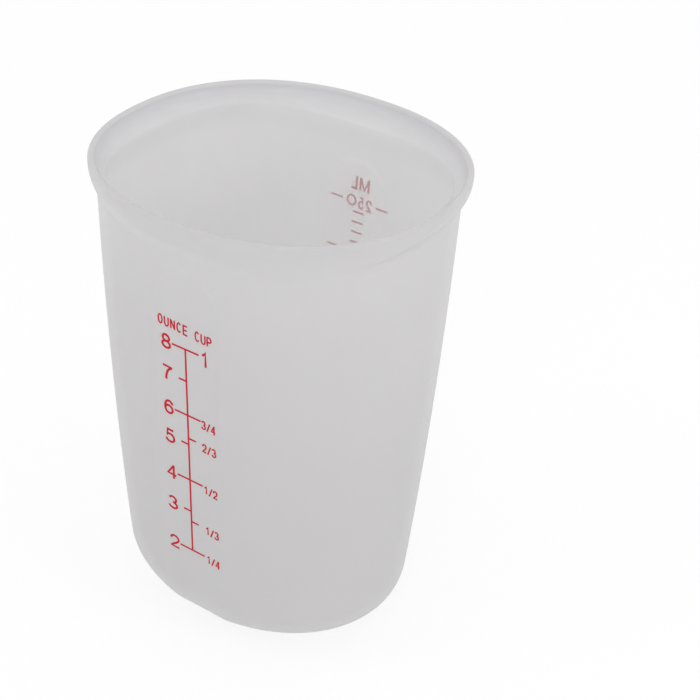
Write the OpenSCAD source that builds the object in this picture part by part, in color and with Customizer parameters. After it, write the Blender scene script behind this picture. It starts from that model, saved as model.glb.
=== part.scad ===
// Resin mixing cup: one soft oval moulding with a collar at the rim, and a printed scale on two flat strips.
// The table is z = 0 and the cup stands on it, centred. The printed lines run along X.
// The ounce and cup scale faces -Y, and the millilitre scale faces +Y.

/* [Cup] */
// Height from the table to the rim
cup_height = 130; // [122:1:170]
// Length over the rim, along the printed lines
rim_length = 90; // [86:0.5:120]
// Width over the rim, across the printed lines
rim_width = 85; // [82:0.5:115]
// Squareness of the rim's outline, where 2 is a true ellipse
rim_squareness = 2.2; // [1.9:0.05:3]
// Length of the wall's outline where it would reach the rim
mouth_length = 82; // [70:0.2:86]
// Width of the wall's outline where it would reach the rim
mouth_width = 75; // [70:0.2:81]
// Squareness of the wall's outline at the mouth
mouth_squareness = 2.8; // [1.9:0.05:3.2]
// Length of the wall's outline at the table, before its edge is rounded
base_length = 77.5; // [68:0.5:84]
// Width of the wall's outline at the table, before its edge is rounded
base_width = 64; // [58:0.5:76]
// Squareness of the wall's outline at the table
base_squareness = 1.95; // [1.8:0.05:3]
// How far the wall swells past straight at half height, at the ends of the oval
end_swell = 1.9; // [0:0.1:3]
// How far the wall swells past straight at half height, at the sides with the strips
side_swell = 0.5; // [0:0.1:3]
// Height of the rounded edge round the base
foot_rise = 16.5; // [8:0.5:28]
// How far the rounded edge draws in under the cup
foot_reach = 22; // [6:0.5:24]

/* [Wall and collar] */
// Thickness of the wall
wall = 2; // [1.2:0.1:3]
// Thickness of the floor
floor_thickness = 2.5; // [1.5:0.1:5]
// Height of the collar outside, at the ends of the oval
collar_height = 7.6; // [5:0.1:11]
// How much further down the collar begins at the sides, where it has no crease at its foot
collar_dip = 4; // [0:0.5:5]
// Fullness of the collar's curve at the ends, where 1 is a straight slope
collar_fullness = 2.2; // [1:0.1:4]
// Height of the step inside the collar, below the rim
inner_step_height = 4.6; // [3.5:0.1:5]
// Rounding where the step inside the collar meets the wall
inner_rounding = 1; // [0.5:0.1:1.5]
// Thickness of the rim's rounded edge
rim_edge = 1.6; // [1:0.1:2.4]

/* [Flat strips] */
// Width of each flat strip
strip_width = 21.6; // [19:0.2:30]
// Width of the soft slope along each side of a strip, inside its width
strip_slope = 1.8; // [0.8:0.1:2]
// Depth of a strip below the wall at the mouth, where the wall doesn't swell
strip_top_depth = 0.2; // [0:0.1:1]
// Depth of a strip below the wall at the table, where the wall doesn't swell
strip_base_depth = 0.6; // [0.3:0.1:2]
// Distance from the rim down to the crown of a strip's arch
strip_drop = 14; // [13:0.5:20]

/* [Printing] */
// Thickness of the ink
ink_thickness = 0.12; // [0.05:0.01:0.3]
// Width of a printed line
line_width = 0.45; // [0.3:0.05:0.8]
// Half length of a full line on the ounce and cup scale
full_line = 3.95; // [2.5:0.05:5]
// Length of a short line on the ounce and cup scale
short_line = 2.3; // [1:0.1:2.4]
// Length of each dash beside a millilitre number
dash_length = 3.6; // [2:0.1:4]
// Length of a short line on the millilitre scale
step_line = 3.4; // [2:0.1:4]
// Bare margin between a dash and the slope of its strip
dash_margin = 0.2; // [0.1:0.05:1]

/* [Ounce and cup lines] */
// Height of the 2 ounce and quarter cup line
line_2_ounce = 30.8; // [29:0.1:35]
// Height of the third of a cup line
line_third_cup = 40.5; // [38:0.1:42.5]
// Height of the 3 ounce line
line_3_ounce = 43.9; // [43.3:0.1:48]
// Height of the 4 ounce and half cup line
line_4_ounce = 54.1; // [50:0.1:58]
// Height of the 5 ounce line
line_5_ounce = 65.3; // [61:0.1:66.3]
// Height of the two thirds of a cup line
line_two_thirds_cup = 67.2; // [67:0.1:70.5]
// Height of the 6 ounce and three quarter cup line
line_6_ounce = 74.2; // [72:0.1:78]
// Height of the 7 ounce line
line_7_ounce = 84.3; // [80:0.1:88]
// Height of the 8 ounce and 1 cup line
line_8_ounce = 93.5; // [91:0.1:97]

/* [Millilitre lines] */
// Height of the 50 millilitre line
line_50_millilitre = 38.5; // [35:0.1:44]
// Height of the 100 millilitre line
line_100_millilitre = 57.4; // [50:0.1:64]
// Height of the 150 millilitre line
line_150_millilitre = 73.5; // [68:0.1:80]
// Height of the 200 millilitre line
line_200_millilitre = 88.5; // [84:0.1:94]
// Height of the 250 millilitre line
line_250_millilitre = 102.9; // [98:0.1:104]

/* [Hidden] */

silicone_colour = [0.82, 0.82, 0.83, 0.9];
ink_colour = [0.70, 0.09, 0.16];

// Short lines between two numbered millilitre lines
steps_per_number = 5;

// Counts of the faces: an end is the part of a ring between two strips, with an even count so that a corner
// lies at its middle
end_faces = 24;
foot_rings = 7;
wall_rings = 16;
brow_rings = 3;
collar_rings = 6;
edge_rings = 5;
// How late the wall's rings begin to bow towards the arch, and how closely the collar's crowd at its foot
bow_delay = 4;
collar_crowding = 1.5;

// The strips
strip_half = strip_width / 2;
strip_crown = cup_height - strip_drop;
arch_centre = strip_crown - strip_half;
strip_flat = strip_half - strip_slope;
strip_base_y = base_width / 2 - strip_base_depth;
strip_top_y = mouth_width / 2 - strip_top_depth;
strip_lean = atan((strip_top_y - strip_base_y) / cup_height);
// Places across a strip of the corners that every ring has, to one side of its middle
strip_columns = [strip_flat / 3, 2 * strip_flat / 3, 0.87 * strip_flat, strip_flat,
                 strip_half - strip_slope / 2, strip_half, strip_half + strip_slope];

// The numbered lines
ounce_full_lines = [line_2_ounce, line_4_ounce, line_6_ounce, line_8_ounce];
ounce_short_lines = [line_3_ounce, line_5_ounce, line_7_ounce];
cup_short_lines = [line_third_cup, line_two_thirds_cup];
millilitre_lines = [line_50_millilitre, line_100_millilitre, line_150_millilitre, line_200_millilitre,
                    line_250_millilitre];

function between(low, high, share) = low + (high - low) * share;
function smooth(share) = share * share * (3 - 2 * share);
function limited(share) = max(0, min(1, share));
function reversed(list) = [for (i = [len(list) - 1:-1:0]) list[i]];

// Distance from the centre to a squared oval (Lame curve) in the direction of an angle.
function oval(length, width, squareness, angle) =
    pow(pow(abs(cos(angle)) / (length / 2), squareness)
        + pow(abs(sin(angle)) / (width / 2), squareness), -1 / squareness);

function base_oval(angle) = oval(base_length, base_width, base_squareness, angle);
function mouth_oval(angle) = oval(mouth_length, mouth_width, mouth_squareness, angle);
function rim_oval(angle) = oval(rim_length, rim_width, rim_squareness, angle);

// Distance from the centre to the outside of the wall, without its collar, strips and rounded foot.
function wall_reach(angle, z) =
    between(base_oval(angle), mouth_oval(angle), z / cup_height)
    + between(end_swell, side_swell, pow(sin(angle), 2)) * 4 * (z / cup_height) * (1 - z / cup_height);

// How much a direction belongs to a side rather than an end.
function sideness(angle) = pow(sin(angle), 4);

// How much of the way from the wall to the rim outline the collar has come, at a share of its height. It
// stands out quickly at its foot, with a crease, or where it is soft it starts without one.
function collar_share(share, softness) =
    between(1 - pow(1 - limited(share), collar_fullness), smooth(limited(share)), softness);

// How far up the step inside the collar a height is. The rounding at its foot is a parabola.
function up_inner_step(z) = let (above = z - inner_step_foot)
    (above < inner_rounding ? pow(above + inner_rounding, 2) / (4 * inner_rounding) : above)
    / (edge_foot - inner_step_foot);

// How flat the wall is at a place across and up a strip: 1 on the strip, 0 off it, smooth on its slope.
function strip_share(x, z) =
    smooth(limited((strip_half - norm([x, max(0, z - arch_centre)])) / strip_slope));
function strip_y(z) = between(strip_base_y, strip_top_y, z / cup_height);

// Half the width of the flat of a strip at a height, which narrows inside the arch.
function flat_half(z) = sqrt(max(0, pow(strip_flat, 2) - pow(max(0, z - arch_centre), 2)));

// Directions of the corners of one ring, round from the middle of the -Y strip. The strips' corners keep
// their places across the strip at every height, and the ends have equal steps.
function column_angle(x, z) =
    let (first = atan(x / wall_reach(90, z)))
    atan(x / (wall_reach(90 - first, z) * cos(first)));
function strip_angles(z, middle) =
    let (aside = [for (x = strip_columns) column_angle(x, z)])
    concat([for (a = reversed(aside)) middle - a], [middle], [for (a = aside) middle + a]);
function end_angles(z, middle) =
    let (half = 90 - column_angle(strip_columns[len(strip_columns) - 1], z))
    [for (i = [1:end_faces - 1]) middle - half + 2 * half * i / end_faces];
function ring_angles(z) =
    concat(strip_angles(z, -90), end_angles(z, 0), strip_angles(z, 90), end_angles(z, 180));

// A corner of the skin. `inset` is its distance inside the outer surface, `collar` is its place up the
// collar, `arch` and `bow` raise the ring over a strip to follow its arch and elsewhere just keep the rings
// apart, and `dip` is its share of the collar's dip at the sides.
function corner(angle, height, inset, collar, arch, bow, dip) =
    let (across = wall_reach(angle, height) * cos(angle),
         raised = height + bow * sqrt(max(pow(arch - strip_flat, 2), arch * arch - across * across)),
         z = raised - dip * side_dip * sideness(angle),
         softness = inset == 0 ? sideness(angle) : 0,
         outer = between(wall_reach(angle, z), rim_oval(angle), collar_share(collar, softness)),
         depth = outer * abs(sin(angle)),
         sunk = strip_share(outer * cos(angle), z) * max(0, depth - strip_y(z)))
    [(outer - inset) * cos(angle), sign(sin(angle)) * (depth - sunk - inset * abs(sin(angle))), z];

// A ring is its height, inset, place up the collar, arch radius, bow and dip. The skin's rings run from the
// middle of the base up the outside, over the rim and down the inside to the middle of the floor.
outer_foot = [for (i = [0:foot_rings]) let (turn = 90 * i / foot_rings)
    [foot_rise * (1 - cos(turn)), foot_reach * (1 - sin(turn)), 0, 0, 0, 0]];
collar_foot = cup_height - collar_height;
// The collar's foot stays above the crowns of the strips' arches.
side_dip = max(0, min(collar_dip, strip_drop - collar_height - 1.5));
edge_foot = cup_height - rim_edge / 2;
outer_collar = [for (i = [0:collar_rings]) let (share = pow(i / collar_rings, collar_crowding))
    [between(collar_foot, edge_foot, share), 0, share, 0, 0, 1 - share]];
rounded_edge = [for (i = [1:edge_rings]) let (turn = 180 * i / (edge_rings + 1))
    [edge_foot + rim_edge / 2 * sin(turn), rim_edge / 2 * (1 - cos(turn)), 1, 0, 0, 0]];
inner_step_foot = cup_height - inner_step_height;
inner_collar = [for (i = [collar_rings:-1:0])
    let (z = between(inner_step_foot - inner_rounding, edge_foot, pow(i / collar_rings, collar_crowding)),
         up = up_inner_step(z))
    [z, between(wall, rim_edge, up), up, 0, 0, 0]];
inner_foot = [for (i = [foot_rings:-1:0]) let (turn = 90 * i / foot_rings)
    [between(foot_rise, floor_thickness, cos(turn)), between(foot_reach, wall, sin(turn)), 0, 0, 0, 0]];

// The rings of the wall, from its foot to its collar. Those below an arch bow up towards it, three lie
// along its slope, and those above flatten again. Outside, they also take up the collar's dip.
function wall_part(inset) = concat(
    [for (i = [1:wall_rings - 1]) let (share = i / wall_rings)
        [between(foot_rise, arch_centre, share), inset, 0, strip_flat, pow(share, bow_delay), 0]],
    [for (i = [0:2]) [arch_centre, inset, 0, strip_flat + strip_slope * i / 2, 1, 0]],
    [for (i = [1:brow_rings - 1]) let (share = i / brow_rings)
        [between(arch_centre, collar_foot, share), inset, 0, strip_half, 1 - share, inset == 0 ? share : 0]]);

skin_rings = concat(
    outer_foot,
    wall_part(0),
    outer_collar,
    rounded_edge,
    inner_collar,
    reversed(wall_part(wall)),
    inner_foot);

// The moulded cup as one closed skin of rings, with a point at the middle of the base and of the floor.
module cup_body() {
    corners = [for (ring = skin_rings)
        [for (angle = ring_angles(ring[0]))
            corner(angle, ring[0], ring[1], ring[2], ring[3], ring[4], ring[5])]];
    around = len(corners[0]);
    rings = len(corners);
    base_middle = rings * around;
    floor_middle = base_middle + 1;
    points = concat([for (ring = corners) each ring], [[0, 0, 0], [0, 0, floor_thickness]]);
    sides = [for (r = [0:rings - 2]) for (i = [0:around - 1])
        let (a = r * around + i, b = r * around + (i + 1) % around, c = b + around, d = a + around)
        each [[a, c, b], [a, d, c]]];
    base = [for (i = [0:around - 1]) [base_middle, i, (i + 1) % around]];
    top = (rings - 1) * around;
    inside = [for (i = [0:around - 1]) [floor_middle, top + (i + 1) % around, top + i]];
    color(silicone_colour) polyhedron(points, concat(sides, base, inside), convexity = 6);
}

// Puts flat work on the plane of a strip, with X along the lines and Y up the strip.
module on_strip(turn) {
    rotate([0, 0, turn])
        translate([0, -strip_base_y, 0])
            rotate([90 + strip_lean, 0, 0])
                children();
}

// A printed line across a strip, from one place to another along X, centred on its height.
module printed_line(from_x, to_x, z) {
    translate([from_x, z / cos(strip_lean) - line_width / 2, 0])
        cube([to_x - from_x, line_width, ink_thickness]);
}

// The stem of the ounce and cup scale, with lines across it for both, or to one side for one of them.
module ounce_cup_scale() {
    stem_foot = line_2_ounce / cos(strip_lean);
    stem_top = line_8_ounce / cos(strip_lean);
    color(ink_colour) on_strip(0) union() {
        translate([-line_width / 2, stem_foot, 0])
            cube([line_width, stem_top - stem_foot, ink_thickness]);
        for (z = ounce_full_lines) printed_line(-full_line, full_line, z);
        for (z = ounce_short_lines) printed_line(-short_line, 0, z);
        for (z = cup_short_lines) printed_line(0, short_line, z);
    }
}

// The millilitre scale: a dash at each side of the place of a number, and short lines every 10 ml.
module millilitre_scale() {
    color(ink_colour) on_strip(180) {
        for (z = millilitre_lines) let (far = flat_half(z + line_width / 2) - dash_margin) {
            printed_line(-far, dash_length - far, z);
            printed_line(far - dash_length, far, z);
        }
        for (i = [0:len(millilitre_lines) - 2]) for (step = [1:steps_per_number - 1])
            printed_line(-step_line / 2, step_line / 2,
                between(millilitre_lines[i], millilitre_lines[i + 1], step / steps_per_number));
    }
}

cup_body();
ounce_cup_scale();
millilitre_scale();
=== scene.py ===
"""Resin mixing cup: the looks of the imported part, in metres and in the part's own frame.

The cup is one silicone moulding on which two scales are printed. Its skin is worked out here with the same
formulas as the part, on a finer grid, and the printed numbers and unit words are added to the two strips.
"""

import logging
import math
from collections.abc import Iterable, Sequence
from dataclasses import dataclass, field
from enum import Enum

import bpy
import numpy as np
from mathutils import Matrix, Vector


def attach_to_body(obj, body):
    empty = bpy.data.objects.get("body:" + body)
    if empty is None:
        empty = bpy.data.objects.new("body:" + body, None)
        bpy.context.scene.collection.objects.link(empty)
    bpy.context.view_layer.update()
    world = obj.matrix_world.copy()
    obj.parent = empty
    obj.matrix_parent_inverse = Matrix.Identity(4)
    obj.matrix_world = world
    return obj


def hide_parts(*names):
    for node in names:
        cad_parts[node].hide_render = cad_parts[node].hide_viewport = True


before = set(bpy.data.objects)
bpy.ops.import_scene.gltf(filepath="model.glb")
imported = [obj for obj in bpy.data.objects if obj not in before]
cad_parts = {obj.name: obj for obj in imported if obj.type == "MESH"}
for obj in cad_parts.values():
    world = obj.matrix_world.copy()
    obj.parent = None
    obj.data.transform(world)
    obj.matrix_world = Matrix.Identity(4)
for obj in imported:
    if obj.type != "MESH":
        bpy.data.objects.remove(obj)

log = logging.getLogger("resin_mixing_cup")

MM = 0.001
# Side of the square photograph in pixels, and width of the camera's sensor in millimetres
PHOTO_SIDE = 700.0
SENSOR_MM = 36.0
BODY = "root"
# The attribute that marks where the silicone is thicker than the plain wall, and so whiter: partly milkier
# silicone, partly a painted highlight along the inside crease
THICK_AND_HIGHLIGHT = "thickness_and_highlight"
WHITE = (1.0, 1.0, 1.0, 1.0)
# The least length that a direction is divided by
TINY = 1e-9

Pair = tuple[float, float]
Path = np.ndarray


def srgb(code: str) -> tuple[float, float, float, float]:
    """Turns an sRGB hex colour to linear red, green, blue and an alpha of 1.

    A share up to 0.04045 is divided by 12.92. Any other has 0.055 added, is divided by 1.055 and is raised to
    the power of 2.4.

    Args:
        code: six hex digits, such as "CECED0".

    Returns:
        The colour as the shader sockets take it.
    """
    share = np.array([int(code[i:i + 2], 16) for i in (0, 2, 4)]) / 255.0
    linear = np.where(share <= 0.04045, share / 12.92, ((share + 0.055) / 1.055) ** 2.4)
    return (*map(float, linear), 1.0)


def add_node(tree: bpy.types.NodeTree, kind: str, inputs: dict | None = None,
             **settings: object) -> bpy.types.Node:
    """Adds a node with its settings, and sets or links its inputs.

    Args:
        tree: the material's or world's node tree.
        kind: the node's type, without the words that all shader node types start with.
        inputs: value or output socket for each input, by the input's name or number.
        settings: the node's own properties.

    Returns:
        The new node.
    """
    node = tree.nodes.new("ShaderNode" + kind)
    for name, value in settings.items():
        setattr(node, name, value)
    for name, value in (inputs or {}).items():
        if isinstance(value, bpy.types.NodeSocket):
            tree.links.new(value, node.inputs[name])
        else:
            node.inputs[name].default_value = value
    return node


def new_material(name: str) -> tuple[bpy.types.Material, bpy.types.NodeTree]:
    """Makes an empty node material.

    Args:
        name: the material's name.

    Returns:
        The material and its node tree.
    """
    material = bpy.data.materials.new(name)
    material.use_nodes = True
    material.node_tree.nodes.clear()
    return material, material.node_tree


def mix(low: np.ndarray | float, high: np.ndarray | float, share: np.ndarray | float) -> np.ndarray:
    """Straight blend: low where the share is 0 and high where it is 1."""
    return low + (high - low) * share


def smooth(share: np.ndarray) -> np.ndarray:
    """Smooth step: 3 s squared less 2 s cubed, with s held between 0 and 1."""
    held = np.clip(share, 0.0, 1.0)
    return held * held * (3.0 - 2.0 * held)


def make_object(name: str, points: np.ndarray, faces: Sequence[Sequence[int]],
                rounded: bool) -> bpy.types.Object:
    """Puts points and faces into a new mesh object at the origin.

    Args:
        name: the piece's name.
        points: array of shape (count, 3), in metres.
        faces: corner numbers of each face, counter-clockwise from outside.
        rounded: whether the faces are shaded smooth.

    Returns:
        The object, linked to the scene.
    """
    mesh = bpy.data.meshes.new(name)
    mesh.from_pydata(points.tolist(), [], faces)
    mesh.polygons.foreach_set("use_smooth", np.full(len(mesh.polygons), rounded))
    mesh.update()
    piece = bpy.data.objects.new(name, mesh)
    bpy.context.scene.collection.objects.link(piece)
    return piece


def quads_between_rows(rows: int, columns: int, closed_columns: bool,
                       closed_rows: bool = False) -> np.ndarray:
    """Numbers the quads of a grid: each joins (r, c), (r, c + 1), (r + 1, c + 1) and (r + 1, c).

    Args:
        rows: rows of points in the grid.
        columns: points in a row.
        closed_columns: whether the last column joins the first.
        closed_rows: whether the last row joins the first.

    Returns:
        Array of shape (count, 4).
    """
    r = np.arange(rows if closed_rows else rows - 1)[:, None]
    c = np.arange(columns if closed_columns else columns - 1)[None, :]
    up, on = (r + 1) % rows, (c + 1) % columns
    corners = [r * columns + c, r * columns + on, up * columns + on, up * columns + c]
    return np.stack([np.broadcast_to(corner, (r.size, c.size)) for corner in corners], axis=-1).reshape(-1, 4)


class Side(Enum):
    """The two printed strips, with the turn about the upright axis that takes the -Y strip to each."""

    OUNCE_CUP = 0.0
    MILLILITRE = math.pi


@dataclass(frozen=True)
class SiliconeFinish:
    """Platinum-cured silicone rubber, moulded milky in a finely blasted mould.

    It lets light through and scatters it, so the cup glows evenly, what is behind a wall shows faintly, and
    the surface has a soft sheen with no sharp reflection. Silicone's IOR is 1.41.

    The colour drifts between milky and cloudy. Up the collar it runs to a tone that is painted rather than
    the silicone's own: where it is darker, as inside the cup, it is painted shade on the lip band. Where the
    attribute marks thicker silicone it runs to the thick tone: whiter as thicker silicone is milkier, and
    also a painted highlight along the inside crease. The glow is the share of light that comes through from
    the far side. The cover is how much of what is behind the surface it hides, and runs to the lip's cover
    over the lip. A blasted mould's grain is finer than the grain here, which is drawn as coarse as it needs
    to show.
    """

    milky: str
    cloudy: str
    # Tone up the collar, painted rather than the silicone's own: where darker, painted shade on the lip band
    collar: str
    cover: float
    lip_cover: float = 0.82
    lip_foot: float = 125.4 * MM
    lip_top: float = 129.2 * MM
    # Thick tone: whiter where the silicone is thicker, and a painted highlight along the inside crease
    thick_and_highlight: str = "E7E6E7"
    collar_foot: float = 117 * MM
    collar_top: float = 126 * MM
    glow: float = 0.5
    ior: float = 1.41
    roughness_low: float = 0.22
    roughness_high: float = 0.30
    cloud_size: float = 35.0 * MM
    grain_size: float = 0.45 * MM
    grain_depth: float = 0.006 * MM

    def build(self, name: str) -> bpy.types.Material:
        """Makes the material.

        Args:
            name: the material's name.

        Returns:
            A material whose colour drifts in soft clouds, with a fine moulded grain.
        """
        material, tree = new_material(name)
        place = add_node(tree, "TexCoord").outputs["Object"]
        clouds = add_node(tree, "TexNoise", {"Vector": place, "Scale": 1.0 / self.cloud_size, "Detail": 2.0})
        grain = add_node(tree, "TexNoise", {"Vector": place, "Scale": 1.0 / self.grain_size, "Detail": 3.0})
        # Mix has sockets of one name for each data type, so its colours, 6 and 7, are set by number.
        colour = add_node(tree, "Mix", data_type="RGBA", inputs={
            0: clouds.outputs["Fac"], 6: srgb(self.milky), 7: srgb(self.cloudy)})
        height = add_node(tree, "SeparateXYZ", {0: place}).outputs["Z"]
        # Up the collar the colour runs to the collar tone, painted shade on the inner lip band
        up_collar = add_node(tree, "MapRange", interpolation_type="SMOOTHSTEP", inputs={
            "Value": height, "From Min": self.collar_foot, "From Max": self.collar_top})
        colour = add_node(tree, "Mix", data_type="RGBA", inputs={
            0: up_collar.outputs["Result"], 6: colour.outputs[2], 7: srgb(self.collar)})
        # The thick tone by the mark: milkier thick silicone and a painted highlight along the inside crease
        thickness_and_highlight = add_node(tree, "Attribute", attribute_name=THICK_AND_HIGHLIGHT)
        colour = add_node(tree, "Mix", data_type="RGBA", inputs={
            0: thickness_and_highlight.outputs["Fac"], 6: colour.outputs[2], 7: srgb(self.thick_and_highlight)})
        sheen = add_node(tree, "MapRange", {
            "Value": grain.outputs["Fac"], "To Min": self.roughness_low, "To Max": self.roughness_high})
        bump = add_node(tree, "Bump", {"Height": grain.outputs["Fac"], "Distance": self.grain_depth})
        skin = add_node(tree, "BsdfPrincipled", {
            "Base Color": colour.outputs[2], "Roughness": sheen.outputs["Result"], "IOR": self.ior,
            "Normal": bump.outputs["Normal"]})
        glow = add_node(tree, "BsdfTranslucent", {
            "Color": colour.outputs[2], "Normal": bump.outputs["Normal"]})
        milk = add_node(tree, "MixShader", {0: self.glow, 1: skin.outputs[0], 2: glow.outputs[0]})
        clear = add_node(tree, "BsdfTransparent")
        cover = add_node(tree, "MapRange", interpolation_type="SMOOTHSTEP", inputs={
            "Value": height, "From Min": self.lip_foot, "From Max": self.lip_top, "To Min": self.cover,
            "To Max": self.lip_cover})
        surface = add_node(tree, "MixShader", {
            0: cover.outputs["Result"], 1: clear.outputs[0], 2: milk.outputs[0]})
        add_node(tree, "OutputMaterial", {"Surface": surface.outputs[0]})
        return material


@dataclass(frozen=True)
class InkFinish:
    """Silicone pad-printing ink: a thin matt film, a little uneven where the pad left it thinner.

    The blotches are noise from 0 to 1. The colour is full up to thin_from, and thin from thin_to on.
    """

    full: str = "BA081E"
    thin: str = "C02038"
    thin_from: float = 0.45
    thin_to: float = 0.75
    roughness: float = 0.6
    gloss: float = 0.2
    blotch_size: float = 1.2 * MM
    film_size: float = 0.2 * MM
    film_depth: float = 0.004 * MM

    def build(self) -> bpy.types.Material:
        """Makes the material.

        Returns:
            A crimson material with faint blotches and a slightly rough film.
        """
        material, tree = new_material("crimson_silicone_ink")
        place = add_node(tree, "TexCoord").outputs["Object"]
        blotches = add_node(tree, "TexNoise", {
            "Vector": place, "Scale": 1.0 / self.blotch_size, "Detail": 4.0})
        film = add_node(tree, "TexNoise", {"Vector": place, "Scale": 1.0 / self.film_size})
        steps = add_node(tree, "ValToRGB", {"Fac": blotches.outputs["Fac"]})
        first, last = steps.color_ramp.elements
        first.position, first.color = self.thin_from, srgb(self.full)
        last.position, last.color = self.thin_to, srgb(self.thin)
        bump = add_node(tree, "Bump", {"Height": film.outputs["Fac"], "Distance": self.film_depth})
        surface = add_node(tree, "BsdfPrincipled", {
            "Base Color": steps.outputs["Color"], "Roughness": self.roughness,
            "Specular IOR Level": self.gloss, "Normal": bump.outputs["Normal"]})
        add_node(tree, "OutputMaterial", {"Surface": surface.outputs["BSDF"]})
        return material


@dataclass(frozen=True)
class PaperFinish:
    """Matt white studio paper. To the camera and in reflections it is mostly its own white, and part shadow.

    The glow share is how much of it is that white, whatever light falls on it.
    """

    white: str = "FBFBFB"
    glow_share: float = 0.82
    roughness: float = 0.9

    def build(self) -> bpy.types.Material:
        """Makes the floor's material.

        Returns:
            A material that is white to the camera and keeps the object's shadow.
        """
        material, tree = new_material("white_studio_paper")
        matt = add_node(tree, "BsdfPrincipled", {"Base Color": srgb(self.white), "Roughness": self.roughness})
        glow = add_node(tree, "Emission", {"Color": WHITE, "Strength": 1.0})
        share = add_node(tree, "Math", {0: seen_rays(tree), 1: self.glow_share}, operation="MULTIPLY")
        surface = add_node(tree, "MixShader", {0: share.outputs[0], 1: matt.outputs[0], 2: glow.outputs[0]})
        add_node(tree, "OutputMaterial", {"Surface": surface.outputs[0]})
        return material


def seen_rays(tree: bpy.types.NodeTree) -> bpy.types.NodeSocket:
    """Adds nodes that give 1 for camera, glossy and transmission rays and 0 for the rest.

    Args:
        tree: the node tree of a material or of the world.

    Returns:
        The output socket with that number.
    """
    path = add_node(tree, "LightPath").outputs
    either = add_node(tree, "Math", {0: path["Is Camera Ray"], 1: path["Is Glossy Ray"]}, operation="MAXIMUM")
    seen = add_node(tree, "Math", {0: either.outputs[0], 1: path["Is Transmission Ray"]}, operation="MAXIMUM")
    return seen.outputs[0]


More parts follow.
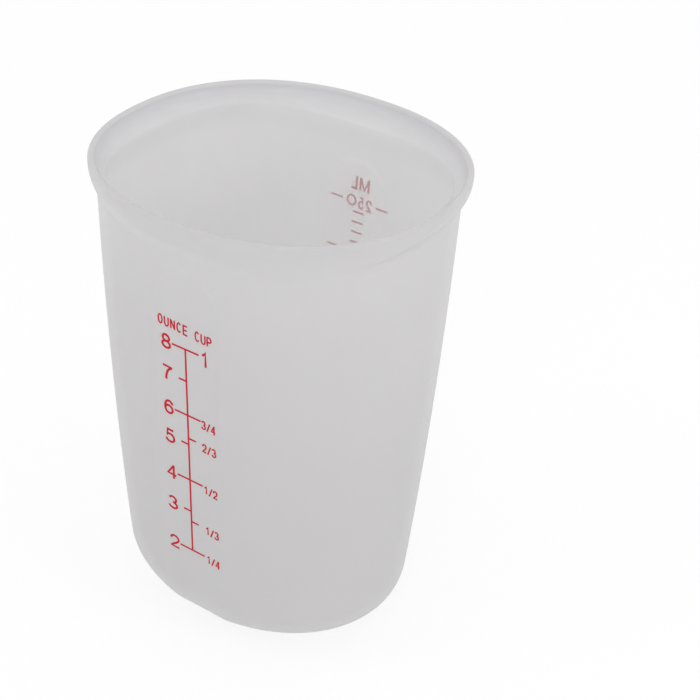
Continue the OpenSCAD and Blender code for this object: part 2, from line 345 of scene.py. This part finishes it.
@dataclass
class CupShell:
    """The moulded cup, with the part's own sizes in metres.

    The outline of the wall at a height is a squared oval (Lame curve) that blends from the base's oval to the
    mouth's. The foot is rounded by drawing the outline in along a quarter of an ellipse. The collar lets the
    wall's outline run out to the rim's. Each strip cuts the wall back to a leaning plane.

    The rim, the mouth and the base each have a length, a width and a squareness.
    """

    height: float = 130 * MM
    rim: tuple[float, float, float] = (90 * MM, 85 * MM, 2.2)
    mouth: tuple[float, float, float] = (82 * MM, 75 * MM, 2.8)
    base: tuple[float, float, float] = (77.5 * MM, 64 * MM, 1.95)
    end_swell: float = 1.9 * MM
    side_swell: float = 0.5 * MM
    foot_rise: float = 16.5 * MM
    foot_reach: float = 22 * MM
    wall: float = 2 * MM
    floor: float = 2.5 * MM
    collar: float = 7.6 * MM
    collar_fullness: float = 2.2
    collar_dip: float = 4 * MM
    inner_step: float = 4.6 * MM
    inner_rounding: float = 1 * MM
    edge: float = 1.6 * MM
    # Silicone that is this much thicker than the wall has the full mark: whiter silicone and the full painted
    # highlight along the inside crease.
    full_mark: float = 4 * MM
    strip_width: float = 21.6 * MM
    strip_slope: float = 1.8 * MM
    strip_top_depth: float = 0.2 * MM
    strip_base_depth: float = 0.6 * MM
    strip_drop: float = 14 * MM
    # The ink's foot lies this deep in the skin, so that the two are never in one plane.
    ink_bed: float = 0.03 * MM
    # Faces of one end, of half the flat of a strip, and of one of its slopes
    end_faces: int = 72
    flat_faces: int = 12
    slope_faces: int = 6
    # Where the corners on the plain wall next to a strip lie, in shares of a slope's width
    beside_strip: tuple[float, ...] = (0.25, 0.6, 1.0)
    foot_rings: int = 24
    wall_rings: int = 60
    slope_rings: int = 8
    brow_rings: int = 8
    collar_rings: int = 18
    edge_rings: int = 25
    disc_rings: int = 6
    # How late the wall's rings bow towards the arch, and how closely the collar's crowd at its foot
    bow_delay: float = 4.0
    collar_crowding: float = 1.5

    @property
    def strip_half(self) -> float:
        """Half the width of a strip."""
        return self.strip_width / 2

    @property
    def strip_flat(self) -> float:
        """Half the width of the flat of a strip."""
        return self.strip_half - self.strip_slope

    @property
    def arch_centre(self) -> float:
        """Height of the centre of a strip's arch."""
        return self.height - self.strip_drop - self.strip_half

    def strip_y(self, z: np.ndarray | float) -> np.ndarray | float:
        """Distance of a strip's plane from the middle of the cup at a height: a straight lean."""
        foot = self.base[1] / 2 - self.strip_base_depth
        return mix(foot, self.mouth[1] / 2 - self.strip_top_depth, z / self.height)

    @staticmethod
    def oval(sizes: tuple[float, float, float], angle: np.ndarray) -> np.ndarray:
        """Distance from the centre to a squared oval.

        The sum of |cos| over half the length and |sin| over half the width, each to the power of the
        squareness, is raised to the power of -1 over the squareness.

        Args:
            sizes: length, width and squareness.
            angle: directions in radians.

        Returns:
            Distances in metres.
        """
        length, width, squareness = sizes
        along = (np.abs(np.cos(angle)) / (length / 2)) ** squareness
        across = (np.abs(np.sin(angle)) / (width / 2)) ** squareness
        return (along + across) ** (-1 / squareness)

    def wall_reach(self, angle: np.ndarray, z: np.ndarray) -> np.ndarray:
        """Distance to the plain wall: the base's oval blended to the mouth's, plus a swell times 4 t (1 - t).

        Args:
            angle: directions in radians.
            z: heights, each the share t of the cup's.

        Returns:
            Distances in metres.
        """
        share = z / self.height
        swell = mix(self.end_swell, self.side_swell, np.sin(angle) ** 2)
        straight = mix(self.oval(self.base, angle), self.oval(self.mouth, angle), share)
        return straight + swell * 4 * share * (1 - share)

    @staticmethod
    def sideness(angle: np.ndarray) -> np.ndarray:
        """How much a direction belongs to a side rather than an end: the fourth power of its sine."""
        return np.sin(angle) ** 4

    def collar_share(self, share: np.ndarray, softness: np.ndarray) -> np.ndarray:
        """How far the outline has left the wall for the rim.

        It is 1 less (1 - s) to the power of the fullness, which starts with a crease. Where it is soft, it is
        a smooth step, which starts without one.

        Args:
            share: how far up the collar.
            softness: which of the two, from 0 to 1.

        Returns:
            0 on the wall and 1 at the rim.
        """
        return mix(1 - (1 - np.clip(share, 0, 1)) ** self.collar_fullness, smooth(share), softness)

    def up_inner_step(self, z: np.ndarray) -> np.ndarray:
        """How far up the step inside the collar a height is.

        It rises straight, but for a parabola from one rounding below its foot to one above. That is (d + r)
        squared over 4 r, where d is the height above the foot and r is the rounding.

        Args:
            z: heights.

        Returns:
            0 on the wall and 1 at the edge's foot.
        """
        foot, top, rounding = self.height - self.inner_step, self.height - self.edge / 2, self.inner_rounding
        above = z - foot
        return np.where(above < rounding, (above + rounding) ** 2 / (4 * rounding), above) / (top - foot)

    def ring_angles(self, z: np.ndarray) -> np.ndarray:
        """Directions of the corners of each ring, counter-clockwise from beside the -Y strip.

        The strip's corners keep their x at every height: the angle whose tangent is x over the wall's reach,
        taken twice. The ends have equal steps between the strips.

        Args:
            z: heights of the rings, of shape (rings,).

        Returns:
            Angles of shape (rings, columns).
        """
        flat, half, slope = self.strip_flat, self.strip_half, self.strip_slope
        places = np.concatenate([
            np.linspace(0, flat, self.flat_faces + 1)[1:], np.linspace(flat, half, self.slope_faces + 1)[1:],
            half + slope * np.array(self.beside_strip)])
        z = z[:, None]
        first = np.arctan(places / self.wall_reach(np.pi / 2, z))
        aside = np.arctan(places / (self.wall_reach(np.pi / 2 - first, z) * np.cos(first)))
        strip = np.concatenate([-aside[:, ::-1], np.zeros_like(z), aside], axis=1)
        end = (np.pi / 2 - aside[:, -1:]) * np.linspace(-1, 1, self.end_faces + 1)[1:-1]
        return np.concatenate([strip - np.pi / 2, end, strip + np.pi / 2, end + np.pi], axis=1)

    def skin_rings(self) -> np.ndarray:
        """Lists the rings from the edge of the base up the outside, over the rim and down to the floor.

        Returns:
            Array of shape (rings, 6): height, inset, place up the collar, arch radius, bow and dip.
        """
        zero = np.zeros
        turn = np.linspace(0, np.pi / 2, self.foot_rings + 1)
        outer_foot = np.stack([
            self.foot_rise * (1 - np.cos(turn)), self.foot_reach * (1 - np.sin(turn)),
            *zero((4, turn.size))], axis=1)
        down = turn[::-1]
        inner_foot = np.stack([
            mix(self.foot_rise, self.floor, np.cos(down)), mix(self.foot_reach, self.wall, np.sin(down)),
            *zero((4, turn.size))], axis=1)
        collar_foot, edge_foot = self.height - self.collar, self.height - self.edge / 2
        share = np.linspace(0, 1, self.collar_rings + 1) ** self.collar_crowding
        outer_collar = np.stack([
            mix(collar_foot, edge_foot, share), zero(share.size), share, *zero((2, share.size)),
            1 - share], axis=1)
        inner_z = mix(self.height - self.inner_step - self.inner_rounding, edge_foot, share[::-1])
        up = self.up_inner_step(inner_z)
        inner_collar = np.stack([inner_z, mix(self.wall, self.edge, up), up, *zero((3, up.size))], axis=1)
        over = np.linspace(0, np.pi, self.edge_rings + 2)[1:-1]
        edge = np.stack([
            edge_foot + self.edge / 2 * np.sin(over), self.edge / 2 * (1 - np.cos(over)), np.ones(over.size),
            *zero((3, over.size))], axis=1)
        return np.concatenate([
            outer_foot, self.wall_part(0.0), outer_collar, edge, inner_collar,
            self.wall_part(self.wall)[::-1], inner_foot])

    def wall_part(self, inset: float) -> np.ndarray:
        """Lists the rings of the wall between its foot and its collar.

        Those below an arch bow up towards it, some lie along its slope, and those above flatten again.

        Args:
            inset: distance inside the outer surface.

        Returns:
            Array of shape (rings, 6), as skin_rings gives.
        """
        below = np.linspace(0, 1, self.wall_rings + 1)[1:-1]
        slope = np.linspace(0, 1, self.slope_rings + 1)
        above = np.linspace(0, 1, self.brow_rings + 1)[1:-1]
        height = np.concatenate([
            mix(self.foot_rise, self.arch_centre, below), np.full(slope.size, self.arch_centre),
            mix(self.arch_centre, self.height - self.collar, above)])
        arch = np.concatenate([
            np.full(below.size, self.strip_flat), self.strip_flat + self.strip_slope * slope,
            np.full(above.size, self.strip_half)])
        bow = np.concatenate([below ** self.bow_delay, np.ones(slope.size), 1 - above])
        brow_dip = above if inset == 0 else np.zeros(above.size)
        dip = np.concatenate([np.zeros(below.size + slope.size), brow_dip])
        return np.stack([height, np.full(height.size, inset), np.zeros(height.size), arch, bow, dip], axis=1)

    def corners(self, rings: np.ndarray) -> np.ndarray:
        """Works out every corner of the skin at once.

        A ring is raised over a strip by its bow times the arch's height there, and elsewhere just enough to
        keep the rings apart. Outside, it is lowered at the sides by its dip, where the collar reaches further
        down. The outline blends from the wall to the rim's oval by the collar share. On a strip the depth is
        cut back to the strip's plane, by a smooth step across the slope. The inset then draws the corner in.

        Args:
            rings: array of shape (rings, 6), as skin_rings gives.

        Returns:
            Points of shape (rings, columns, 3).
        """
        height, inset, up_collar, arch, bow, dip = (rings[:, i:i + 1] for i in range(6))
        angle = self.ring_angles(rings[:, 0])
        across = self.wall_reach(angle, height) * np.cos(angle)
        z = height + bow * np.sqrt(np.maximum((arch - self.strip_flat) ** 2, arch ** 2 - across ** 2))
        z = z - dip * self.collar_dip * self.sideness(angle)
        softness = np.where(inset == 0, self.sideness(angle), 0)
        share = self.collar_share(up_collar, softness)
        outer = mix(self.wall_reach(angle, z), self.oval(self.rim, angle), share)
        leaning = np.abs(np.sin(angle))
        depth = outer * leaning
        from_centre = np.hypot(outer * np.cos(angle), np.maximum(0, z - self.arch_centre))
        on_strip = smooth((self.strip_half - from_centre) / self.strip_slope)
        sunk = on_strip * (np.maximum(0, depth - self.strip_y(z)) - self.ink_bed)
        y = np.sign(np.sin(angle)) * (depth - sunk - inset * leaning)
        return np.stack([(outer - inset) * np.cos(angle), y, z], axis=-1)

    def build(self) -> bpy.types.Object:
        """Makes the cup as one closed skin, with a pole at the middle of the base and of the floor.

        Returns:
            The cup's object.
        """
        skin = self.corners(self.skin_rings())
        shrink = np.linspace(0, 1, self.disc_rings + 1)[1:-1, None, None] * np.array([1.0, 1.0, 0.0])
        level = np.array([0.0, 0.0, 1.0])
        grid = np.concatenate([
            skin[:1] * shrink + skin[:1] * level, skin, skin[-1:] * shrink[::-1] + skin[-1:] * level])
        rows, columns = grid.shape[:2]
        poles = np.array([[0, 0, 0], [0, 0, self.floor]])
        points = np.concatenate([grid.reshape(-1, 3), poles])
        on = np.roll(np.arange(columns), -1)
        first, last, base_pole = np.arange(columns), (rows - 1) * columns, rows * columns
        base = np.stack([np.full(columns, base_pole), on, first], axis=1)
        inside = np.stack([np.full(columns, base_pole + 1), last + first, last + on], axis=1)
        quads = quads_between_rows(rows, columns, closed_columns=True)
        faces = quads.tolist() + base.tolist() + inside.tolist()
        cup = make_object("silicone_cup", points, faces, rounded=True)
        self.paint(cup, rows, columns)
        return cup

    def paint(self, cup: bpy.types.Object, rows: int, columns: int) -> None:
        """Gives the skin its outer finish up to the far side of the rim's edge, and its inner one from there.

        Args:
            cup: the cup's object, with its quads row by row, then the fans of the base and of the floor.
            rows: rows of the skin's grid.
            columns: points in a row.
        """
        outside = SiliconeFinish(milky="DCDBDC", cloudy="E0DFDF", collar="DDDCDD", cover=0.82)
        # Inside: tones lighter than outside, painted light against the shade inside the cup, and a darker
        # collar tone, painted shade on the inner lip band
        inside = SiliconeFinish(milky="E3E2E3", cloudy="E7E6E6", collar="D8D7D9", cover=0.52)
        cup.data.materials.append(outside.build("milky_silicone_outside"))
        cup.data.materials.append(inside.build("milky_silicone_inside"))
        outer_rows = self.disc_rings - 1 + self.foot_rings + self.wall_rings + self.slope_rings
        outer_rows += self.brow_rings + self.collar_rings + self.edge_rings + 1
        self.mark_thick_and_highlight_places(cup, outer_rows * columns)
        inner = np.repeat(np.arange(rows - 1) >= outer_rows, columns)
        fans = np.repeat([False, True], columns)
        cup.data.polygons.foreach_set("material_index", np.concatenate([inner, fans]).astype(np.int32))

    def mark_thick_and_highlight_places(self, cup: bpy.types.Object, outer_points: int) -> None:
        """Marks how much thicker than the plain wall each place inside is: thicker silicone looks whiter.

        The mark is the outer outline at the point's height, less the point's own distance from the axis and
        the wall, over how much thicker a full mark is. Below the collar it is 0. The mark is also a painted
        highlight, brightest along the inside crease at the foot of the step.

        Args:
            cup: the cup's object.
            outer_points: how many of its points, the first ones, lie outside.
        """
        points = np.empty(len(cup.data.vertices) * 3)
        cup.data.vertices.foreach_get("co", points)
        x, y, z = points.reshape(-1, 3).T
        angle = np.arctan2(y, x)
        dip = self.collar_dip * self.sideness(angle)
        collar_foot = self.height - self.collar - dip
        up_collar = (z - collar_foot) / (self.height - self.edge / 2 - collar_foot)
        share = self.collar_share(up_collar, self.sideness(angle))
        outer = mix(self.wall_reach(angle, z), self.oval(self.rim, angle), share)
        thick_and_highlight = np.clip((outer - np.hypot(x, y) - self.wall) / self.full_mark, 0, 1)
        thick_and_highlight[up_collar <= 0] = 0
        thick_and_highlight[:outer_points] = 0
        mark = cup.data.attributes.new(THICK_AND_HIGHLIGHT, "FLOAT", "POINT")
        mark.data.foreach_set("value", thick_and_highlight.astype(np.float32))

    def onto_strip(self, points: np.ndarray, side: Side) -> np.ndarray:
        """Moves flat work onto the plane of a strip, as the part does with its printed lines.

        Args:
            points: array (..., 3) with X along the lines, Y up the strip from the table, and Z out of it.
            side: which strip.

        Returns:
            The points in the cup's frame.
        """
        foot = float(self.strip_y(0.0))
        lean = math.atan((float(self.strip_y(self.height)) - foot) / self.height)
        place = (Matrix.Rotation(side.value, 4, "Z") @ Matrix.Translation((0, -foot, 0))
                 @ Matrix.Rotation(math.pi / 2 + lean, 4, "X"))
        turn = np.array(place.to_3x3())
        return points @ turn.T + np.array(place.translation)

    def up_strip(self, z: float) -> float:
        """Distance up a strip's plane that lies at a height above the table."""
        foot = float(self.strip_y(0.0))
        return z * math.hypot(1.0, (float(self.strip_y(self.height)) - foot) / self.height)


def arc(centre: Pair, reach: Pair, start: float, stop: float, steps: int) -> Path:
    """Points along part of an ellipse.

    Each point is the centre plus the reach times the cosine and sine of an angle that runs evenly.

    Args:
        centre: middle of the ellipse.
        reach: half its width and half its height.
        start: first angle in degrees, counter-clockwise from the right.
        stop: last angle in degrees.
        steps: number of pieces.

    Returns:
        Array of shape (steps + 1, 2).
    """
    angle = np.radians(np.linspace(start, stop, steps + 1))
    return np.stack([centre[0] + reach[0] * np.cos(angle), centre[1] + reach[1] * np.sin(angle)], axis=1)


def line(*points: Pair) -> Path:
    """A path through the given points."""
    return np.array(points, dtype=float)


def join(*paths: Path) -> Path:
    """One path from several that follow each other."""
    return np.concatenate(paths)


# Centre lines of each glyph's strokes, in a square of side 1 from its lower left corner.
GLYPHS: dict[str, tuple[Path, ...]] = {
    "0": (arc((0.5, 0.5), (0.5, 0.46), 90, 450, 40),),
    "1": (line((0.12, 0.76), (0.30, 0.80), (0.50, 0.90), (0.62, 1.0), (0.62, 0.0)),),
    "2": (join(arc((0.5, 0.72), (0.48, 0.28), 185, -35, 22),
               line((0.62, 0.36), (0.25, 0.17), (0.02, 0.0), (1.0, 0.0))),),
    "3": (arc((0.46, 0.755), (0.42, 0.245), 165, -90, 20), arc((0.47, 0.255), (0.50, 0.255), 90, -165, 22)),
    "4": (line((0.74, -0.08), (0.74, 1.06)), line((0.74, 1.03), (0.0, 0.25), (1.04, 0.25))),
    "5": (join(line((0.90, 1.0), (0.20, 1.0), (0.08, 0.46)),
               arc((0.47, 0.33), (0.51, 0.33), 130, -160, 24)),),
    "6": (arc((0.5, 0.31), (0.45, 0.31), 0, 360, 32),
          join(arc((0.54, 0.52), (0.49, 0.48), 32, 180, 18), line((0.05, 0.31)))),
    "7": (join(line((0.0, 1.03), (1.0, 1.03)), arc((1.05, -0.02), (0.72, 0.98), 100, 180, 12)),),
    "8": (arc((0.5, 0.755), (0.38, 0.245), 90, 450, 30), arc((0.5, 0.255), (0.45, 0.255), 90, 450, 32)),
    "/": (line((0.0, -0.08), (1.0, 1.05)),),
    "C": (arc((0.5, 0.5), (0.5, 0.5), 42, 318, 28),),
    "E": (line((1.0, 1.0), (0.0, 1.0), (0.0, 0.0), (1.0, 0.0)), line((0.0, 0.52), (0.9, 0.52))),
    "L": (line((0.0, 1.0), (0.0, 0.0), (1.0, 0.0)),),
    "M": (line((0.0, 0.0), (0.0, 1.0)), line((0.0, 1.0), (0.5, 0.05), (1.0, 1.0)),
          line((1.0, 1.0), (1.0, 0.0))),
    "N": (line((0.0, 0.0), (0.0, 1.0)), line((0.0, 1.0), (1.0, 0.0)), line((1.0, 0.0), (1.0, 1.0))),
    "O": (arc((0.5, 0.5), (0.5, 0.5), 90, 450, 40),),
    "P": (line((0.0, 0.0), (0.0, 1.0)),
          join(line((0.0, 1.0), (0.5, 1.0)), arc((0.55, 0.74), (0.45, 0.26), 80, -80, 14),
               line((0.5, 0.48), (0.0, 0.48)))),
    "U": (join(line((0.0, 1.0), (0.0, 0.4)), arc((0.5, 0.33), (0.5, 0.33), 180, 360, 18),
               line((1.0, 0.4), (1.0, 1.0))),),
}


@dataclass
class Pen:
    """Draws printed strokes: a flat band carried along a centre line, as thick as the ink.

    The fall is how far the print drops per length to the right, as where the pad was pressed on askew.
    """

    stroke: float
    fall: float
    ink: float = 0.12 * MM
    # Strokes have one of four thicknesses in turn, so that the tops of two that cross are never in one plane.
    layer: float = 0.004 * MM
    layers: int = 4
    # The most that a bend may lengthen the section
    corner_limit: float = 1.5
    points: list[np.ndarray] = field(default_factory=list)
    faces: list[list[int]] = field(default_factory=list)
    strokes: int = 0

    def band(self, path: Path) -> None:
        """Carries the stroke's cross-section, an oblong, along a path in the plane of the print.

        The path is first sheared by the print's fall. At each point the section lies across the mean of the
        directions before and after, lengthened by one over the cosine of half the bend, so the band keeps its
        width round a corner.

        Args:
            path: centre line in metres. It is closed where its ends meet.
        """
        path = np.stack([path[:, 0], path[:, 1] - self.fall * path[:, 0]], axis=1)
        closed = bool(np.allclose(path[0], path[-1]))
        line_points = path[:-1] if closed else path
        step = np.diff(path, axis=0)
        step /= np.linalg.norm(step, axis=1, keepdims=True)
        before = np.roll(step, 1, axis=0) if closed else np.concatenate([step[:1], step])
        after = step if closed else np.concatenate([step, step[-1:]])
        normal = np.stack([-(before + after)[:, 1], (before + after)[:, 0]], axis=1)
        length = np.linalg.norm(normal, axis=1, keepdims=True)
        half = self.stroke / 2 * np.minimum(2 / np.maximum(length, TINY), self.corner_limit)
        side = normal / np.maximum(length, TINY) * half
        rows = len(line_points)
        low, high = np.zeros(rows), np.full(rows, self.ink + self.layer * (self.strokes % self.layers))
        left, right = line_points + side, line_points - side
        section = np.stack([
            np.column_stack([right, low]), np.column_stack([right, high]),
            np.column_stack([left, high]), np.column_stack([left, low])], axis=1)
        start = sum(len(p) for p in self.points)
        faces = quads_between_rows(rows, 4, closed_columns=True, closed_rows=closed)
        self.faces += (faces[:, ::-1] + start).tolist()
        if not closed:
            last = start + (rows - 1) * 4
            self.faces += [[start + i for i in (0, 1, 2, 3)], [last + i for i in (3, 2, 1, 0)]]
        self.points.append(section.reshape(-1, 3))
        self.strokes += 1

    def glyph(self, sign: str, centre: Pair, size: Pair) -> None:
        """Draws one sign so that the outside of its strokes fills an oblong.

        Args:
            sign: the sign's name in GLYPHS.
            centre: middle of the oblong, in metres on the print's plane.
            size: width and height of the oblong.
        """
        room = np.array(size) - self.stroke
        for path in GLYPHS[sign]:
            self.band(np.array(centre) + (path - 0.5) * room)

    def word(self, text: str, centre: Pair, size: Pair, pitch: float) -> None:
        """Draws signs in a row.

        Args:
            text: the signs.
            centre: middle of the row.
            size: width and height of one sign.
            pitch: distance from one sign's middle to the next.
        """
        for i, sign in enumerate(text):
            self.glyph(sign, (centre[0] + pitch * (i - (len(text) - 1) / 2), centre[1]), size)

    def build(self, name: str, shell: CupShell, side: Side) -> bpy.types.Object:
        """Makes one object of all strokes drawn so far, on a strip of the cup.

        Args:
            name: the piece's name.
            shell: the cup, which gives the strip's plane.
            side: which strip.

        Returns:
            The print's object.
        """
        points = shell.onto_strip(np.concatenate(self.points), side)
        return make_object(name, points, self.faces, rounded=False)


@dataclass
class OunceCupPrint:
    """Numbers and unit words beside the ounce and cup lines, on the -Y strip."""

    shell: CupShell
    fall: float = 0.066
    number_stroke: float = 0.58 * MM
    number_size: Pair = (3.1 * MM, 4.25 * MM)
    number_x: float = -5.8 * MM
    number_drop: float = 0.35 * MM
    one_size: Pair = (2.48 * MM, 4.59 * MM)
    one_x: float = 5.75 * MM
    one_drop: float = 0.26 * MM
    fraction_stroke: float = 0.38 * MM
    fraction_digit: Pair = (1.45 * MM, 2.65 * MM)
    fraction_slash: Pair = (1.25 * MM, 2.65 * MM)
    fraction_drop: float = 0.5 * MM
    # From the middle of a fraction to the middle of each of its digits
    fraction_reach: float = 1.45 * MM
    word_stroke: float = 0.36 * MM
    word_letter: Pair = (1.47 * MM, 2.85 * MM)
    # From the highest line to the middle of the words
    word_rise: float = 5.35 * MM

    # Height of each number's line, the middle and the line's height of each fraction, and the middle and the
    # pitch of each word, in millimetres
    NUMBERS = {"2": 30.8, "3": 43.9, "4": 54.1, "5": 65.3, "6": 74.2, "7": 84.3, "8": 93.5}
    FRACTIONS = {
        "1/4": (6.7, 31.1), "1/3": (6.6, 40.8), "1/2": (6.45, 54.1), "2/3": (6.35, 67.2), "3/4": (6.3, 74.2)}
    WORDS = {"OUNCE": (-3.55, 1.87), "CUP": (5.45, 1.75)}

    def numbers(self) -> bpy.types.Object:
        """Draws the ounce numbers and the 1 of the cup scale with a broad pen.

        Returns:
            The numbers' object.
        """
        pen = Pen(self.number_stroke, self.fall)
        for sign, z in self.NUMBERS.items():
            pen.glyph(sign, (self.number_x, self.shell.up_strip(z * MM) - self.number_drop), self.number_size)
        top_line = self.shell.up_strip(self.NUMBERS["8"] * MM)
        pen.glyph("1", (self.one_x, top_line - self.one_drop), self.one_size)
        return pen.build("ounce_numbers", self.shell, Side.OUNCE_CUP)

    def fractions(self) -> bpy.types.Object:
        """Draws the small fractions of the cup scale: a digit, a slash and a digit.

        Returns:
            The fractions' object.
        """
        pen = Pen(self.fraction_stroke, self.fall)
        for text, (x, z) in self.FRACTIONS.items():
            y = self.shell.up_strip(z * MM) - self.fraction_drop
            pen.glyph(text[0], (x * MM - self.fraction_reach, y), self.fraction_digit)
            pen.glyph(text[1], (x * MM, y), self.fraction_slash)
            pen.glyph(text[2], (x * MM + self.fraction_reach, y), self.fraction_digit)
        return pen.build("cup_fractions", self.shell, Side.OUNCE_CUP)

    def words(self) -> bpy.types.Object:
        """Draws the two plain unit words above the scale.

        Returns:
            The words' object.
        """
        pen = Pen(self.word_stroke, self.fall)
        y = self.shell.up_strip(self.NUMBERS["8"] * MM) + self.word_rise
        for text, (x, pitch) in self.WORDS.items():
            pen.word(text, (x * MM, y), self.word_letter, pitch * MM)
        return pen.build("ounce_cup_words", self.shell, Side.OUNCE_CUP)


@dataclass
class MillilitrePrint:
    """Numbers and the unit above the millilitre lines, on the +Y strip."""

    shell: CupShell
    fall: float = -0.05
    number_stroke: float = 0.45 * MM
    number_height: float = 3.4 * MM
    gap: float = 0.6 * MM
    unit_stroke: float = 0.58 * MM
    unit_height: float = 4.1 * MM
    # From the highest line to the middle of the unit
    unit_rise: float = 5.3 * MM

    # Height of each number, width of each sign, and the middle and the width of each letter of the unit, in
    # millimetres. The 200 stands a little under its line, where the near rim hides it from the camera.
    NUMBERS = {"50": 38.5, "100": 57.4, "150": 73.5, "200": 87.9, "250": 102.9}
    WIDTHS = {"0": 3.0, "1": 1.2, "2": 1.8, "5": 1.75}
    UNIT = {"M": (-1.2, 3.1), "L": (2.0, 2.0)}

    def numbers(self) -> bpy.types.Object:
        """Draws each number between its dashes, centred across the strip.

        Returns:
            The numbers' object.
        """
        pen = Pen(self.number_stroke, self.fall)
        for text, z in self.NUMBERS.items():
            widths = [self.WIDTHS[sign] * MM for sign in text]
            left = -(sum(widths) + self.gap * (len(text) - 1)) / 2
            for sign, width in zip(text, widths):
                middle = (left + width / 2, self.shell.up_strip(z * MM))
                pen.glyph(sign, middle, (width, self.number_height))
                left += width + self.gap
        return pen.build("millilitre_numbers", self.shell, Side.MILLILITRE)

    def unit(self) -> bpy.types.Object:
        """Draws the plain unit above the highest number.

        Returns:
            The unit's object.
        """
        pen = Pen(self.unit_stroke, self.fall)
        y = self.shell.up_strip(self.NUMBERS["250"] * MM) + self.unit_rise
        for sign, (x, width) in self.UNIT.items():
            pen.glyph(sign, (x * MM, y), (width * MM, self.unit_height))
        return pen.build("millilitre_unit", self.shell, Side.MILLILITRE)


@dataclass(frozen=True)
class Lamp:
    """A square soft box: where it hangs, how wide it is and how strong, in metres and watts."""

    name: str
    place: tuple[float, float, float]
    width: float
    power: float


@dataclass
class Studio:
    """The floor, the light and the camera at the photograph's viewing angle.

    The camera's angles are in degrees. Its focal length and the place where its axis meets the picture are in
    pixels of the photograph.
    """

    target: tuple[float, float, float] = (0.0, 0.0, 65 * MM)
    azimuth: float = -35.258
    elevation: float = 34.113
    roll: float = 2.044
    distance: float = 404.9 * MM
    focal_px: float = 1567.0
    centre_px: tuple[float, float] = (272.6, 383.71)
    floor_side: float = 6.0
    floor_faces: int = 4
    # The sheet lies this far under the cup's base, so that the two are never in one plane.
    floor_drop: float = 0.05 * MM
    world_light: float = 0.87
    lamps: tuple[Lamp, ...] = (
        Lamp("key_soft_box", (0.35, -0.80, 0.75), 0.25, 1.5),
        Lamp("fill_soft_box", (0.98, 0.05, 0.55), 0.25, 1.6),
        Lamp("left_soft_box", (-0.45, -0.55, 0.90), 0.30, 0.8),
    )

    def floor(self) -> bpy.types.Object:
        """Makes the floor: a level square sheet of paper under the cup.

        Returns:
            The floor's object.
        """
        along = np.linspace(-self.floor_side / 2, self.floor_side / 2, self.floor_faces + 1)
        grid = np.stack(np.meshgrid(along, along), axis=-1).reshape(-1, 2)
        points = np.column_stack([grid, np.full(len(grid), -self.floor_drop)])
        faces = quads_between_rows(along.size, along.size, closed_columns=False)
        floor = make_object("paper_floor", points, faces.tolist(), rounded=False)
        floor.data.materials.append(PaperFinish().build())
        return floor

    def world(self) -> None:
        """Makes the world: even pale light, seen as white."""
        world = bpy.data.worlds.new("white_studio")
        world.use_nodes = True
        tree = world.node_tree
        tree.nodes.clear()
        strength = add_node(tree, "MapRange", {
            "Value": seen_rays(tree), "To Min": self.world_light, "To Max": 1.0})
        light = add_node(tree, "Background", {"Color": WHITE, "Strength": strength.outputs["Result"]})
        add_node(tree, "OutputWorld", {"Surface": light.outputs[0]})
        bpy.context.scene.world = world

    def hang_lamps(self) -> None:
        """Hangs the soft boxes, each turned to the cup."""
        for lamp in self.lamps:
            data = bpy.data.lights.new(lamp.name, "AREA")
            data.size, data.energy = lamp.width, lamp.power
            light = bpy.data.objects.new(lamp.name, data)
            aim = Vector(self.target) - Vector(lamp.place)
            light.location = lamp.place
            light.rotation_euler = aim.to_track_quat("-Z", "Y").to_euler()
            bpy.context.scene.collection.objects.link(light)

    def camera(self) -> bpy.types.Object:
        """Sets the camera up as the photograph's.

        It looks at the target from its azimuth and elevation, rolled about its axis. The lens has the fitted
        focal length, and the shift puts the optical axis where the fit has it in the photograph.

        Returns:
            The camera's object.
        """
        a, e, roll = (math.radians(v) for v in (self.azimuth, self.elevation, self.roll))
        ahead = Vector((math.sin(a) * math.cos(e), math.cos(a) * math.cos(e), -math.sin(e)))
        right = ahead.cross(Vector((0, 0, 1))).normalized()
        up = right.cross(ahead)
        rolled_right = right * math.cos(roll) + up * math.sin(roll)
        rolled_up = up * math.cos(roll) - right * math.sin(roll)
        turn = Matrix((rolled_right, rolled_up, -ahead)).transposed().to_4x4()
        data = bpy.data.cameras.new("photo_camera")
        data.sensor_width, data.lens = SENSOR_MM, self.focal_px / PHOTO_SIDE * SENSOR_MM
        data.shift_x = (PHOTO_SIDE / 2 - self.centre_px[0]) / PHOTO_SIDE
        data.shift_y = (self.centre_px[1] - PHOTO_SIDE / 2) / PHOTO_SIDE
        data.clip_start, data.clip_end = 0.01, 20.0
        camera = bpy.data.objects.new("photo_camera", data)
        camera.matrix_world = Matrix.Translation(Vector(self.target) - ahead * self.distance) @ turn
        bpy.context.scene.collection.objects.link(camera)
        bpy.context.scene.camera = camera
        return camera

    def build(self) -> None:
        """Makes the floor, the light and the camera."""
        self.camera()
        self.floor()
        self.world()
        self.hang_lamps()
        bpy.context.scene.view_settings.view_transform = "Standard"


def attach(pieces: Iterable[bpy.types.Object]) -> None:
    """Lets pieces ride on the cup's body.

    Args:
        pieces: new objects of the part.
    """
    for piece in pieces:
        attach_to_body(piece, BODY)
        log.info("%s: %d faces", piece.name, len(piece.data.polygons))


def main() -> None:
    """Builds the studio and the cup, and prints its scales."""
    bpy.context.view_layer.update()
    Studio().build()
    shell = CupShell()
    cup = shell.build()
    attach([cup])
    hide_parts("cup_body")
    ink = InkFinish().build()
    front, back = OunceCupPrint(shell), MillilitrePrint(shell)
    prints = [front.numbers(), front.fractions(), front.words(), back.numbers(), back.unit()]
    attach(prints)
    for piece in prints + [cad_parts[name] for name in ("ounce_cup_scale", "millilitre_scale")]:
        piece.data.materials.clear()
        piece.data.materials.append(ink)


if __name__ == "__main__":
    logging.basicConfig(level=logging.INFO, format="%(name)s: %(message)s")
    main()
